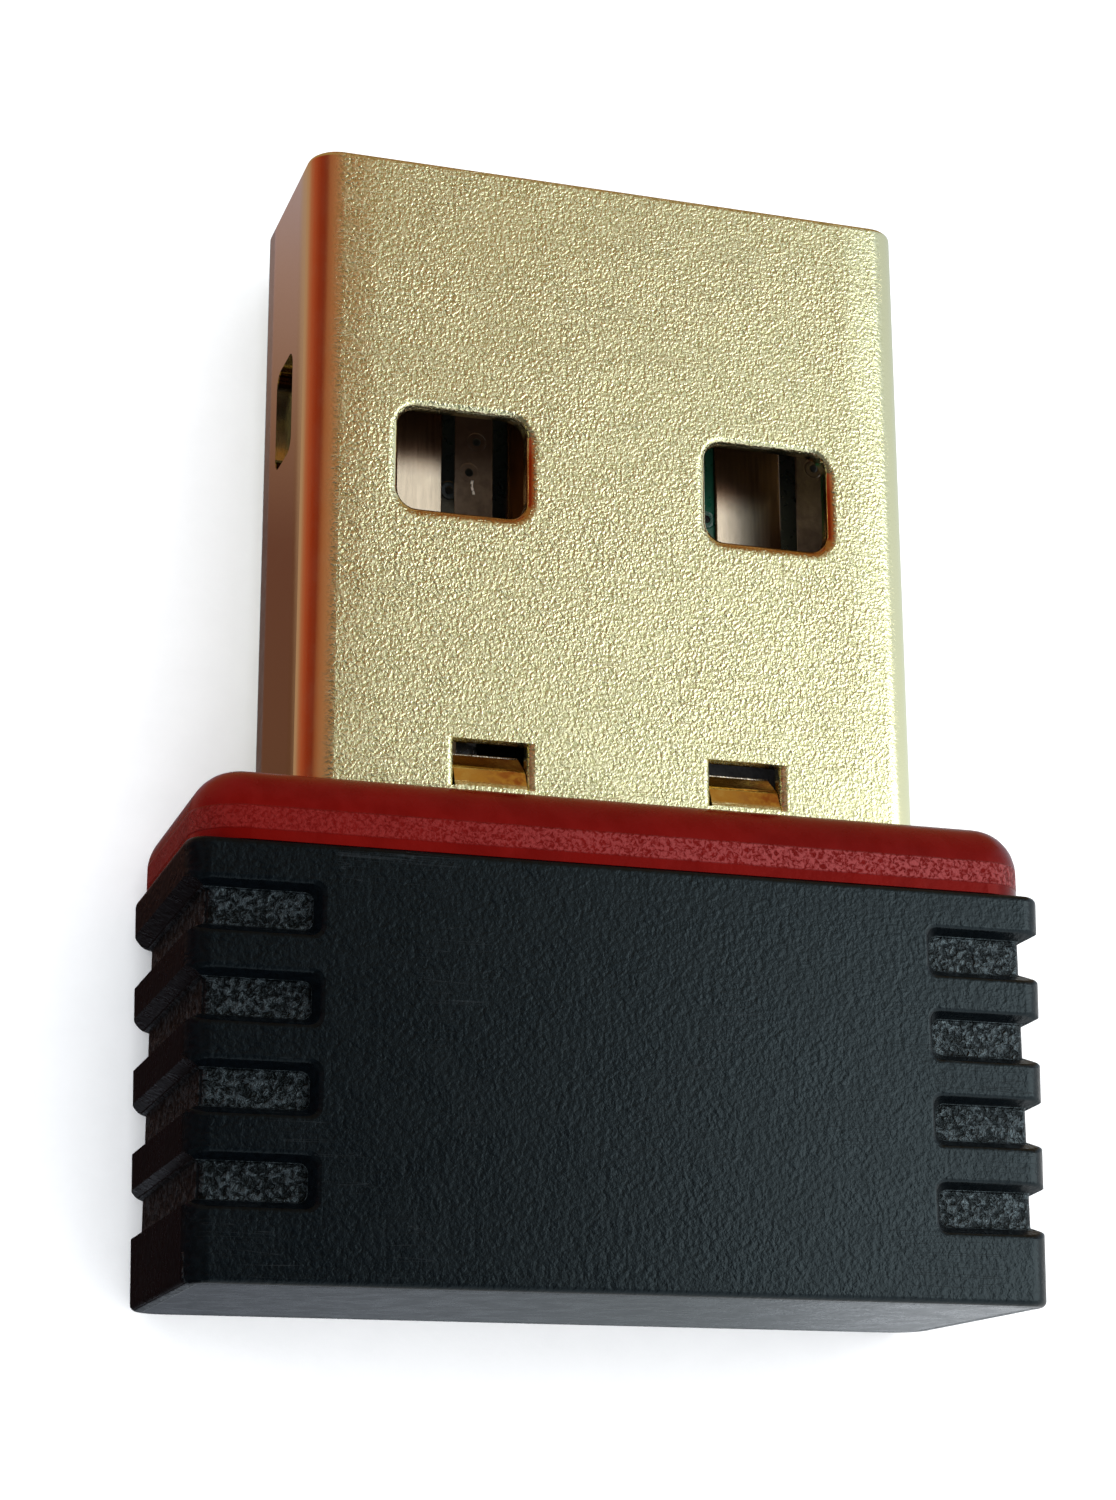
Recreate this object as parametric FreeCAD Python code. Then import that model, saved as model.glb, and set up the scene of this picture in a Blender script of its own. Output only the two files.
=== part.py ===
import FreeCAD, Part
import math
import os

# A nano USB wireless network adapter, lying on its back.
# X runs across it, Y along it from the closed end to the tip of the plug, and Z up through its thickness.
# It is drawn with Y = 0 at the closed end. export() then moves it so that its origin is under its middle.
V = FreeCAD.Vector

# ---- driving dimensions, in millimetres ----
BODY_WIDTH = 16.0        # across the housing, half way along the cap
BODY_DRAFT = 0.09        # how much each side leans out from the closed end to the mouth
BODY_THICK = 6.0
CAP_LENGTH = 7.6
COLLAR_LENGTH = 1.4
PLUG_REACH = 12.36       # plug standing out of the collar
WALL = 1.0               # moulded wall of the cap
FRONT_CORNER = 0.4       # long corners of the cap, front and rear
REAR_CORNER = 0.7

SHELL_WIDTH = 12.0       # USB type A plug shell
SHELL_THICK = 4.5
SHELL_CORNER = 0.6
SHEET = 0.3              # sheet metal of the shell
MOUTH_GAP = 1.95         # free height over the contacts
SHELL_TAIL = 6.3         # where the shell ends inside the cap

GROOVE_COUNT = 4
GROOVE_FIRST = 1.725     # middle of the groove nearest the closed end
GROOVE_PITCH = 1.565
GROOVE_FLOOR = 0.62      # width of a groove's floor
GROOVE_DEPTH = 0.29
GROOVE_FLARE = 0.55      # how fast the groove widens towards its mouth
GROOVE_REACH = 2.15      # how far a groove runs onto each wide face
GROOVE_RIM_ROUND = 0.1
GROOVE_RIM_REACH = 0.06  # the closed ends' corners sit this far out from the straight rims
GROOVE_CORNER_ROUND = 0.15
GROOVE_END_ROUND = 0.2   # the two corners of a groove's closed end

BOARD_THICK = 1.0
BOARD_START = 1.25       # end of the board near the closed end
BOARD_SHOULDER = 4.9     # where the board narrows to fit the shell
BOARD_TIP_GAP = 0.45     # board tip back from the shell's mouth
BOARD_WIDTH = 13.5
BOARD_SLIP = 0.1         # gap between the board's edge and the shell
CONTACT_THICK = 0.1
SOLDER_GAP = 0.05        # solder under a component
OVERLAP = 0.1            # how far joined pieces run into each other before they are fused
PAST = 1.0               # how far a cutter runs past the faces it cuts

# ---- derived places ----
LENGTH = CAP_LENGTH + COLLAR_LENGTH + PLUG_REACH
MID_Z = BODY_THICK / 2
PLUG_START = CAP_LENGTH + COLLAR_LENGTH
HALF_SHELL = SHELL_WIDTH / 2
SHELL_LOW = MID_Z - SHELL_THICK / 2
SHELL_HIGH = MID_Z + SHELL_THICK / 2
INNER_HALF = HALF_SHELL - SHEET
INNER_LOW = SHELL_LOW + SHEET
INNER_HIGH = SHELL_HIGH - SHEET
CONTACT_TOP = INNER_HIGH - MOUTH_GAP
BOARD_TOP = CONTACT_TOP - CONTACT_THICK
BOARD_LOW = BOARD_TOP - BOARD_THICK
BOARD_TIP = LENGTH - BOARD_TIP_GAP
NECK_HALF = INNER_HALF - BOARD_SLIP
CAVITY_HALF = BODY_WIDTH / 2 - WALL
CAVITY_LOW = WALL
CAVITY_HIGH = BODY_THICK - WALL
SIDES = (-1, 1)


# ---- small helpers ----
def box(x, y, z):
    """A box from three (low, high) pairs."""
    return Part.makeBox(x[1] - x[0], y[1] - y[0], z[1] - z[0], V(x[0], y[0], z[0]))


def prism(points, direction):
    """A flat polygon pushed along a direction."""
    return Part.Face(Part.makePolygon(points + [points[0]])).extrude(direction)


def rounded_wire(half_width, low, high, y, low_radius, high_radius):
    """A rounded rectangle across the plug's axis."""
    corners = [
        (half_width - low_radius, low + low_radius, low_radius, 270),
        (half_width - high_radius, high - high_radius, high_radius, 0),
        (high_radius - half_width, high - high_radius, high_radius, 90),
        (low_radius - half_width, low + low_radius, low_radius, 180),
    ]
    arcs = []
    for x, z, radius, start in corners:
        turns = [math.radians(start + step) for step in (0, 45, 90)]
        points = [V(x + radius * math.cos(t), y, z + radius * math.sin(t)) for t in turns]
        arcs.append(Part.Arc(*points).toShape())
    edges = []
    for number, arc in enumerate(arcs):
        following = arcs[(number + 1) % 4]
        ends = (arc.Vertexes[-1].Point, following.Vertexes[0].Point)
        edges += [arc, Part.LineSegment(*ends).toShape()]
    return Part.Wire(edges)


def tube_section(half_width, low, high, y, length, radius):
    """A solid bar of rounded rectangular section along Y."""
    wire = rounded_wire(half_width, low, high, y, radius, radius)
    return Part.Face(wire).extrude(V(0, length, 0))


def fillet_where(shape, radius, test):
    """Rounds every edge whose middle point passes the test."""
    chosen = [e for e in shape.Edges if test(e.CenterOfMass)]
    return shape.makeFillet(radius, chosen)


def near(value, target, tolerance=0.02):
    return abs(value - target) < tolerance


def fuse_all(shapes):
    return shapes[0].multiFuse(shapes[1:]).removeSplitter()


def mirror_x(shape):
    return shape.mirror(V(0, 0, 0), V(1, 0, 0))


def both_sides(shape):
    """The shape and its mirror image, kept as two solids."""
    return [shape, mirror_x(shape)]


def export(name, shapes):
    """Writes one sub-part, moved so that the origin is at the bottom centre of the whole adapter."""
    solids = [s for shape in shapes for s in shape.Solids]
    for solid in solids:
        solid.translate(V(0, -LENGTH / 2, 0))
        if not solid.isValid():
            raise ValueError(name + " has an invalid solid")
    whole = solids[0] if len(solids) == 1 else Part.makeCompound(solids)
    whole.exportStep(os.path.join("parts", name + ".step"))


# ---- moulded housing ----
LATCH_Y = 5.65           # middle of the snap latch that holds the collar in the cap
LATCH_LENGTH = 0.5
LATCH_HALF_HEIGHT = 1.0
LATCH_REACH = 0.2
LATCH_CLEAR = 0.06
RAIL_DEPTH = 0.85        # board rails on the cap's side walls
RAIL_HEIGHT = 0.45
RAIL_CLEAR = 0.02
MOUTH_CLEAR = 0.1        # cap pocket round the shell's tail
END_ROUND = 0.12


def cap_blank():
    """The cap's outside before its grooves: drafted sides, long corners and both ends rounded."""
    closed = BODY_WIDTH / 2 - BODY_DRAFT
    mouth = BODY_WIDTH / 2 + BODY_DRAFT
    plan = [V(-closed, 0, 0), V(closed, 0, 0), V(mouth, CAP_LENGTH, 0), V(-mouth, CAP_LENGTH, 0)]
    blank = prism(plan, V(0, 0, BODY_THICK))
    for z, radius in ((0, REAR_CORNER), (BODY_THICK, FRONT_CORNER)):

        def long_corner(middle):
            return near(middle.z, z) and near(middle.y, CAP_LENGTH / 2) and abs(middle.x) > closed

        blank = fillet_where(blank, radius, long_corner)
    for y in (0, CAP_LENGTH):

        def end_rim(middle):
            return near(middle.y, y)

        blank = fillet_where(blank, END_ROUND, end_rim)
    return blank


def groove_middles():
    return [GROOVE_FIRST + number * GROOVE_PITCH for number in range(GROOVE_COUNT)]


def groove_pocket(inner_x, outer_x, floor_half, rise):
    """A flared pocket that opens upwards from Z = 0, its inner end flared too."""
    flare = rise * GROOVE_FLARE
    mouth_half = floor_half + flare
    low_corner = (inner_x, 0, -floor_half, -mouth_half, inner_x - flare)
    high_corner = (outer_x, rise, floor_half, mouth_half, outer_x)
    pocket = Part.makeWedge(*low_corner, *high_corner)
    pocket.rotate(V(0, 0, 0), V(1, 0, 0), 90)

    def closed_end_corner(middle):
        at_end = near(middle.x, inner_x - flare / 2) and near(middle.z, rise / 2)
        return at_end and abs(middle.y) > floor_half

    return fillet_where(pocket, GROOVE_END_ROUND, closed_end_corner)


def groove_cutter(y):
    """One grip groove: a shallow flared channel round one side, from wide face to wide face."""
    rise = PAST
    floor_half = GROOVE_FLOOR / 2
    mouth_half = floor_half + rise * GROOVE_FLARE
    floor_x = BODY_WIDTH / 2 - GROOVE_DEPTH
    side = prism(
        [
            V(floor_x, y - floor_half, -rise),
            V(floor_x, y + floor_half, -rise),
            V(floor_x + rise, y + mouth_half, -rise),
            V(floor_x + rise, y - mouth_half, -rise),
        ],
        V(0, 0, BODY_THICK + 2 * rise),
    )
    front = groove_pocket(BODY_WIDTH / 2 - GROOVE_REACH, BODY_WIDTH / 2 + rise, floor_half, rise)
    front.translate(V(0, y, BODY_THICK - GROOVE_DEPTH))
    rear = front.mirror(V(0, 0, MID_Z), V(0, 0, 1))
    return fuse_all([side, front, rear])


def round_grooves(cap):
    """Softens the grooves: their rims on the cap's wide faces, and the long corners of their floors."""
    flare = GROOVE_DEPTH * GROOVE_FLARE
    rim_half = GROOVE_FLOOR / 2 + flare
    inner_rim = BODY_WIDTH / 2 - GROOVE_REACH - flare
    floor_x = BODY_WIDTH / 2 - GROOVE_DEPTH
    middles = groove_middles()

    def rim(middle):
        wide_face = near(middle.z, 0) or near(middle.z, BODY_THICK)
        at_groove = any(abs(middle.y - y) < rim_half + GROOVE_RIM_REACH for y in middles)
        return wide_face and at_groove and abs(middle.x) > inner_rim - GROOVE_RIM_REACH

    def floor_corner(middle):
        at_depth = near(middle.z, GROOVE_DEPTH) or near(middle.z, BODY_THICK - GROOVE_DEPTH)
        return at_depth and near(abs(middle.x), floor_x) and any(near(middle.y, y) for y in middles)

    cap = fillet_where(cap, GROOVE_RIM_ROUND, rim)
    return fillet_where(cap, GROOVE_CORNER_ROUND, floor_corner)


def housing_cap():
    cap = cap_blank()
    cavity = box((-CAVITY_HALF, CAVITY_HALF), (WALL, CAP_LENGTH + PAST), (CAVITY_LOW, CAVITY_HIGH))
    half = HALF_SHELL + MOUTH_CLEAR
    start = SHELL_TAIL - MOUTH_CLEAR
    low = SHELL_LOW - MOUTH_CLEAR
    high = SHELL_HIGH + MOUTH_CLEAR
    pocket = tube_section(half, low, high, start, CAP_LENGTH + PAST - start, SHELL_CORNER)
    cap = cap.cut(cavity).cut(pocket)
    catch_x = (CAVITY_HALF - OVERLAP, CAVITY_HALF + LATCH_REACH + LATCH_CLEAR)
    catch_half = LATCH_LENGTH / 2 + LATCH_CLEAR
    catch_z = (MID_Z - LATCH_HALF_HEIGHT - LATCH_CLEAR, MID_Z + LATCH_HALF_HEIGHT + LATCH_CLEAR)
    catch = box(catch_x, (LATCH_Y - catch_half, LATCH_Y + catch_half), catch_z)
    cap = cap.cut(catch).cut(mirror_x(catch))
    rail_x = (CAVITY_HALF - RAIL_DEPTH, CAVITY_HALF + OVERLAP)
    rail_y = (WALL - OVERLAP, BOARD_SHOULDER)
    under = box(rail_x, rail_y, (CAVITY_LOW - OVERLAP, BOARD_LOW - RAIL_CLEAR))
    over = box(rail_x, rail_y, (BOARD_TOP + RAIL_CLEAR, BOARD_TOP + RAIL_CLEAR + RAIL_HEIGHT))
    cap = fuse_all([cap] + both_sides(under) + both_sides(over))
    for y in groove_middles():
        cutter = groove_cutter(y)
        cap = cap.cut(cutter).cut(mirror_x(cutter))
    return round_grooves(cap.removeSplitter())


COLLAR_INSET = 0.06      # the collar stands this far in from the cap's faces
COLLAR_CORNER = 0.95
COLLAR_SHOULDER = 0.85   # big round from the collar's sides to its top
SHELL_CLEAR = 0.03
ARM_INNER = 6.08         # snap arms beside the shell
ARM_OUTER = 6.92
ARM_END = 5.12
ARM_HALF_HEIGHT = 1.8
ARM_ROOT = 0.2           # how far the arms start inside the ring
ARM_LEAD = (0.2, 0.25)   # lead-in chamfer at the arms' tips


def collar():
    """The ring round the plug, with two snap arms that reach into the cap beside the shell."""
    half = BODY_WIDTH / 2 - COLLAR_INSET
    high = BODY_THICK - COLLAR_INSET
    ring = tube_section(half, COLLAR_INSET, high, CAP_LENGTH, COLLAR_LENGTH, COLLAR_CORNER)

    def shoulder(middle):
        return near(middle.y, PLUG_START)

    ring = fillet_where(ring, COLLAR_SHOULDER, shoulder)
    hole = tube_section(
        HALF_SHELL + SHELL_CLEAR,
        SHELL_LOW - SHELL_CLEAR,
        SHELL_HIGH + SHELL_CLEAR,
        CAP_LENGTH - PAST,
        COLLAR_LENGTH + 2 * PAST,
        SHELL_CORNER,
    )
    ring = ring.cut(hole)
    z = MID_Z - ARM_HALF_HEIGHT
    root = CAP_LENGTH + ARM_ROOT
    arm = prism(
        [
            V(ARM_INNER, root, z),
            V(ARM_OUTER, root, z),
            V(ARM_OUTER, ARM_END + ARM_LEAD[1], z),
            V(ARM_OUTER - ARM_LEAD[0], ARM_END, z),
            V(ARM_INNER, ARM_END, z),
        ],
        V(0, 0, 2 * ARM_HALF_HEIGHT),
    )
    latch_z = MID_Z - LATCH_HALF_HEIGHT
    base = ARM_OUTER - OVERLAP
    tip = CAVITY_HALF + LATCH_REACH
    latch_low = LATCH_Y - LATCH_LENGTH / 2
    latch_high = LATCH_Y + LATCH_LENGTH / 2
    latch = prism(
        [
            V(base, latch_high, latch_z),
            V(tip, latch_high, latch_z),
            V(tip, LATCH_Y, latch_z),
            V(ARM_OUTER, latch_low, latch_z),
            V(base, latch_low, latch_z),
        ],
        V(0, 0, 2 * LATCH_HALF_HEIGHT),
    )
    one_arm = fuse_all([arm, latch])
    return fuse_all([ring] + both_sides(one_arm))


# ---- plug shell ----
WINDOW_X = 3.03          # latch windows on both wide faces
WINDOW_WIDTH = 2.5
WINDOW_Y = (14.3, 16.33)
WINDOW_CORNER = 0.38
DIE_ROLL = 0.12          # rounded lip left by the punch
TAB_X = 2.47             # lanced tabs close to the collar
TAB_WIDTH = 1.4
TAB_Y = (9.05, 9.95)
TAB_HINGE = 9.07
TAB_SLOPES = ((24, 0.42), (52, 0.58))  # degrees down, length: it leaves gently, then dives
TAB_ROOT = 0.3           # the part that stays in the wall
TAB_BENDS = (0.05, 0.25)  # radii of its two bends
TAB_ROLL = 0.13          # rounded lip along both sides of its hole
TAB_CLEAR = 0.02         # lanced gap at each side
SIDE_HOLE_Y = (15.8, 17.83)
SIDE_HOLE_Z = (2.35, 3.75)
SIDE_HOLE_CORNER = 0.3
LEG_Y = 5.0              # soldered legs that carry on from the shell's sides
LEG_Z = (1.25, 3.65)
SEAM_WIDTH = 0.06        # butt joint of the folded sheet, with dovetail keys
SEAM_KEYS = (9.6, 16.6)
KEY_LENGTH = 2.0
KEY_DEPTH = 1.0
KEY_FLARE = 0.2
TIP_ROUND = 0.12


def window_punch(x, y_pair, width, corner):
    """A punch with rounded corners, as tall as the whole plug."""
    punch = box((x - width / 2, x + width / 2), y_pair, (SHELL_LOW - PAST, SHELL_HIGH + PAST))
    return punch.makeFillet(corner, [e for e in punch.Edges if near(e.CenterOfMass.z, MID_Z)])


def seam_strip(start, end):
    """A thin cut through the rear wall from one point to the next."""
    along = (end - start).normalize()
    across = V(-along.y, along.x, 0) * (SEAM_WIDTH / 2)
    first = start - along * (SEAM_WIDTH / 2)
    last = end + along * (SEAM_WIDTH / 2)
    corners = [first - across, last - across, last + across, first + across]
    return prism(corners, V(0, 0, SHEET + 2 * OVERLAP))


def seam_points():
    """The path of the seam along the rear wall, stepping sideways round each dovetail key."""
    z = SHELL_LOW - OVERLAP
    points = [V(0, SHELL_TAIL - PAST, z)]
    for key in SEAM_KEYS:
        points.append(V(0, key, z))
        points.append(V(KEY_DEPTH, key - KEY_FLARE, z))
        points.append(V(KEY_DEPTH, key + KEY_LENGTH + KEY_FLARE, z))
        points.append(V(0, key + KEY_LENGTH, z))
    points.append(V(0, LENGTH + PAST, z))
    return points


def shell_tab():
    """One tab lanced from the front wall and bent in, hinged at its collar end."""
    slopes = [0] + [math.radians(slope) for slope, length in TAB_SLOPES]
    lengths = [TAB_ROOT] + [length for slope, length in TAB_SLOPES]
    outside = [V(0, TAB_HINGE - TAB_ROOT, SHELL_HIGH)]
    for slope, length in zip(slopes, lengths):
        outside.append(outside[-1] + V(0, math.cos(slope), -math.sin(slope)) * length)
    before = slopes[:1] + slopes
    after = slopes + slopes[-1:]
    inside = []
    for point, first, second in zip(outside, before, after):
        mean = (first + second) / 2
        depth = SHEET / math.cos((second - first) / 2)
        inside.append(point - V(0, math.sin(mean), math.cos(mean)) * depth)
    tab = prism(outside + inside[::-1], V(TAB_WIDTH - 2 * TAB_CLEAR, 0, 0))
    for point, radius in zip(outside[1:-1], TAB_BENDS):

        def knee(middle):
            return near(middle.y, point.y) and near(middle.z, point.z)

        tab = fillet_where(tab, radius, knee)
    tab.translate(V(TAB_X - TAB_WIDTH / 2 + TAB_CLEAR, 0, 0))
    return tab


def plug_shell():
    length = LENGTH - SHELL_TAIL
    outer = tube_section(HALF_SHELL, SHELL_LOW, SHELL_HIGH, SHELL_TAIL, length, SHELL_CORNER)

    def tip(middle):
        return near(middle.y, LENGTH)

    outer = fillet_where(outer, TIP_ROUND, tip)
    inner = tube_section(
        INNER_HALF, INNER_LOW, INNER_HIGH, SHELL_TAIL - PAST, length + 2 * PAST, SHELL_CORNER - SHEET
    )
    shell = outer.cut(inner)
    for side in SIDES:
        shell = shell.cut(window_punch(side * WINDOW_X, WINDOW_Y, WINDOW_WIDTH, WINDOW_CORNER))

    def window_lip(middle):
        on_face = near(middle.z, SHELL_HIGH) or near(middle.z, SHELL_LOW)
        return on_face and WINDOW_Y[0] - OVERLAP < middle.y < WINDOW_Y[1] + OVERLAP

    shell = fillet_where(shell, DIE_ROLL, window_lip)
    tab_x = (TAB_X - TAB_WIDTH / 2, TAB_X + TAB_WIDTH / 2)
    tab_hole = box(tab_x, TAB_Y, (INNER_HIGH - OVERLAP, SHELL_HIGH + OVERLAP))
    side_hole = box((INNER_HALF - OVERLAP, HALF_SHELL + OVERLAP), SIDE_HOLE_Y, SIDE_HOLE_Z)
    across = [e for e in side_hole.Edges if near(e.CenterOfMass.x, (INNER_HALF + HALF_SHELL) / 2)]
    side_hole = side_hole.makeFillet(SIDE_HOLE_CORNER, across)
    for cutter in both_sides(tab_hole) + both_sides(side_hole):
        shell = shell.cut(cutter)

    def tab_lip(middle):
        beside = near(abs(middle.x), tab_x[0]) or near(abs(middle.x), tab_x[1])
        return beside and near(middle.z, SHELL_HIGH) and TAB_Y[0] < middle.y < TAB_Y[1]

    shell = fillet_where(shell, TAB_ROLL, tab_lip)
    leg = box((INNER_HALF, HALF_SHELL), (LEG_Y, SHELL_TAIL + OVERLAP), LEG_Z)
    shell = fuse_all([shell] + both_sides(leg) + both_sides(shell_tab()))
    points = seam_points()
    for start, end in zip(points, points[1:]):
        shell = shell.cut(seam_strip(start, end))
    return shell


# ---- circuit board, tongue and contacts ----
PEG_X = 4.4              # pegs of the spacer, through the board
PEG_Y = 12.3
PEG_RADIUS = 0.4
PEG_CLEAR = 0.02
VIA_RADIUS = 0.15
VIA_CLEAR = 0.01
OUTER_CONTACT_X = 3.53
OUTER_CONTACT_WIDTH = 1.4
INNER_CONTACT_X = 1.0
INNER_CONTACT_WIDTH = 1.0
CONTACT_START = 12.9
OUTER_CONTACT_END = LENGTH - 0.8
INNER_CONTACT_END = LENGTH - 1.8
CONTACT_CORNER = 0.15
CONTACT_CHAMFER = 0.03
SPACER_START = 6.4
NOTCH = 0.3              # chamfers at the board's tip and the spacer's long edges


def via_points():
    """Middles of the plated holes: two rows by the contacts, and a row behind them."""
    points = []
    for side in SIDES:
        points += [(side * 2.2, 16.65), (side * 2.27, 16.0), (side * 2.66, 15.65), (side * 2.2, 19.0)]
        points += [(side * 5.0, 14.0), (side * 5.0, 17.0), (side * 5.0, 20.0)]
        points += [(side * 5.0, 9.2), (side * 5.0, 7.4)]
    return points + [(0, 12.0), (0, 9.2), (1.2, 8.9), (1.2, 3.2)]


def via(x, y, radius):
    return Part.makeCylinder(radius, BOARD_THICK, V(x, y, BOARD_LOW))


def circuit_board():
    half = BOARD_WIDTH / 2
    outline = [
        (half, BOARD_START),
        (half, BOARD_SHOULDER),
        (NECK_HALF, BOARD_SHOULDER),
        (NECK_HALF, BOARD_TIP - NOTCH),
        (NECK_HALF - NOTCH, BOARD_TIP),
    ]
    mirrored = [(-x, y) for x, y in reversed(outline)]
    board = prism([V(x, y, BOARD_LOW) for x, y in outline + mirrored], V(0, 0, BOARD_THICK))
    for side in SIDES:
        board = board.cut(via(side * PEG_X, PEG_Y, PEG_RADIUS + PEG_CLEAR))
    for x, y in via_points():
        board = board.cut(via(x, y, VIA_RADIUS + VIA_CLEAR))
    return board


def plated_vias():
    return [via(x, y, VIA_RADIUS) for x, y in via_points()]


def tongue_spacer():
    """The moulded filler under the board inside the shell, with two pegs that locate the board."""
    points = [
        V(-NECK_HALF, SPACER_START, BOARD_LOW),
        V(-NECK_HALF, SPACER_START, INNER_LOW + NOTCH),
        V(NOTCH - NECK_HALF, SPACER_START, INNER_LOW),
        V(NECK_HALF - NOTCH, SPACER_START, INNER_LOW),
        V(NECK_HALF, SPACER_START, INNER_LOW + NOTCH),
        V(NECK_HALF, SPACER_START, BOARD_LOW),
    ]
    bar = prism(points, V(0, BOARD_TIP - SPACER_START, 0))
    pegs = []
    for side in SIDES:
        base = V(side * PEG_X, PEG_Y, BOARD_LOW - OVERLAP)
        pegs.append(Part.makeCylinder(PEG_RADIUS, BOARD_THICK + OVERLAP, base))
    return fuse_all([bar] + pegs)


def contact(x, width, end):
    """One plated contact finger with softened edges."""
    strip = box((x - width / 2, x + width / 2), (CONTACT_START, end), (BOARD_TOP, CONTACT_TOP))
    upright = [e for e in strip.Edges if near(e.CenterOfMass.z, (BOARD_TOP + CONTACT_TOP) / 2)]
    strip = strip.makeFillet(CONTACT_CORNER, upright)
    top = [e for e in strip.Edges if near(e.CenterOfMass.z, CONTACT_TOP)]
    return strip.makeChamfer(CONTACT_CHAMFER, top)


LEG_SOLDER_REACH = 0.5
LEG_SOLDER_HOLLOW = 0.3  # how far the arc's middle is from the corner, as a share of the reach
LEG_SOLDER_Y = (5.15, 6.15)


def leg_solder():
    """Four solder fillets between the board's edges and the shell's legs."""
    corner = V(INNER_HALF, LEG_SOLDER_Y[0], BOARD_TOP)
    toe = corner - V(LEG_SOLDER_REACH, 0, 0)
    crest = corner + V(0, 0, LEG_SOLDER_REACH)
    hollow = corner + V(-1, 0, 1) * (LEG_SOLDER_HOLLOW * LEG_SOLDER_REACH)
    edges = [
        Part.LineSegment(corner, toe).toShape(),
        Part.Arc(toe, hollow, crest).toShape(),
        Part.LineSegment(crest, corner).toShape(),
    ]
    upper = Part.Face(Part.Wire(edges)).extrude(V(0, LEG_SOLDER_Y[1] - LEG_SOLDER_Y[0], 0))
    lower = upper.mirror(V(0, 0, BOARD_LOW + BOARD_THICK / 2), V(0, 0, 1))
    return both_sides(upper) + both_sides(lower)


# ---- components on the board ----
def place(shape, x, y, turn, underside=False):
    """Puts a component drawn about the origin, standing on Z = 0, onto the board."""
    shape = shape.copy()
    if underside:
        shape.rotate(V(0, 0, 0), V(0, 1, 0), 180)
    shape.rotate(V(0, 0, 0), V(0, 0, 1), turn)
    shape.translate(V(x, y, BOARD_LOW if underside else BOARD_TOP))
    return shape


def chip_body(length, width, height, band):
    """The ceramic middle of a two-terminal surface mount part, lying along X."""
    return box((band - length / 2, length / 2 - band), (-width / 2, width / 2), (SOLDER_GAP, height))


FILLET_TOE = 0.4         # a solder fillet's reach, as a share of the metal band
FILLET_CREST = 0.6       # and its height, as a share of the part's height


def chip_terminals(length, width, height, band):
    """Its two metal ends, each with the solder fillet at its foot."""
    end = length / 2
    points = [
        V(end - band, -width / 2, 0),
        V(end + FILLET_TOE * band, -width / 2, 0),
        V(end, -width / 2, FILLET_CREST * height),
        V(end, -width / 2, height),
        V(end - band, -width / 2, height),
    ]
    terminal = prism(points, V(0, width, 0))
    return both_sides(terminal)


# each size: length, width, height, metal band
SIZE_0402 = (1.0, 0.5, 0.5, 0.22)
SIZE_0402_FLAT = (1.0, 0.5, 0.36, 0.22)
SIZE_0603 = (1.6, 0.8, 0.8, 0.3)
SIZE_0805 = (2.0, 1.25, 1.1, 0.4)

# each place: x, y, turn in degrees, on the underside
CAPACITORS = [
    (-5.3, 3.05, 90, False), (-5.2, 4.5, 90, False), (1.1, 8.0, 90, False), (-4.3, 9.1, 0, False),
    (-2.9, 9.1, 0, False), (-1.2, 9.1, 0, False), (1.1, 6.6, 90, False), (1.1, 5.1, 90, False),
    (-4.0, 3.4, 0, True), (-2.2, 3.4, 0, True), (2.6, 3.4, 0, True), (4.4, 3.4, 0, True),
]
RESISTORS = [
    (5.0, 6.9, 90, False), (5.0, 8.3, 90, False), (-1.0, 11.6, 0, False), (1.0, 11.6, 0, False),
    (-3.1, 5.4, 90, True), (-1.6, 5.4, 90, True), (0.0, 5.4, 90, True), (1.6, 5.4, 90, True),
]
MATCHING_INDUCTORS = [(2.2, 1.95, 90, False), (3.6, 1.95, 90, False)]
BULK_CAPACITORS = [(-3.4, 10.55, 0, False)]
FERRITE_BEADS = [(0.0, 10.45, 0, False)]


def chip_group(places, size):
    """All bodies and all terminals of one kind of two-terminal part."""
    bodies = [place(chip_body(*size), *where) for where in places]
    ends = [place(t, *where) for where in places for t in chip_terminals(*size)]
    return bodies, ends


QFN_SIDE = 5.0
QFN_HEIGHT = 0.85
QFN_LEADS = 10
QFN_PITCH = 0.4
QFN_PADDLE = 3.4
QFN_AT = (-2.1, 5.9)
QFN_CHAMFER = 0.06
QFN_LEAD_HALF = 0.11     # half a lead's width
QFN_LEAD_INNER = 0.35    # how far a lead runs in under the chip
QFN_LEAD_OUTER = 0.18    # how far its solder stands out
QFN_LEAD_CREST = 0.22
PIN_ONE_RADIUS = 0.25
PIN_ONE_INSET = 0.7
PIN_ONE_DEPTH = 0.04


def wifi_chip():
    half = QFN_SIDE / 2
    body = box((-half, half), (-half, half), (SOLDER_GAP, QFN_HEIGHT))
    top = [e for e in body.Edges if near(e.CenterOfMass.z, QFN_HEIGHT)]
    body = body.makeChamfer(QFN_CHAMFER, top)
    corner = V(PIN_ONE_INSET - half, half - PIN_ONE_INSET, QFN_HEIGHT - PIN_ONE_DEPTH)
    spot = Part.makeCylinder(PIN_ONE_RADIUS, 2 * PIN_ONE_DEPTH, corner)
    return place(body.cut(spot), *QFN_AT, 0)


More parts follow.
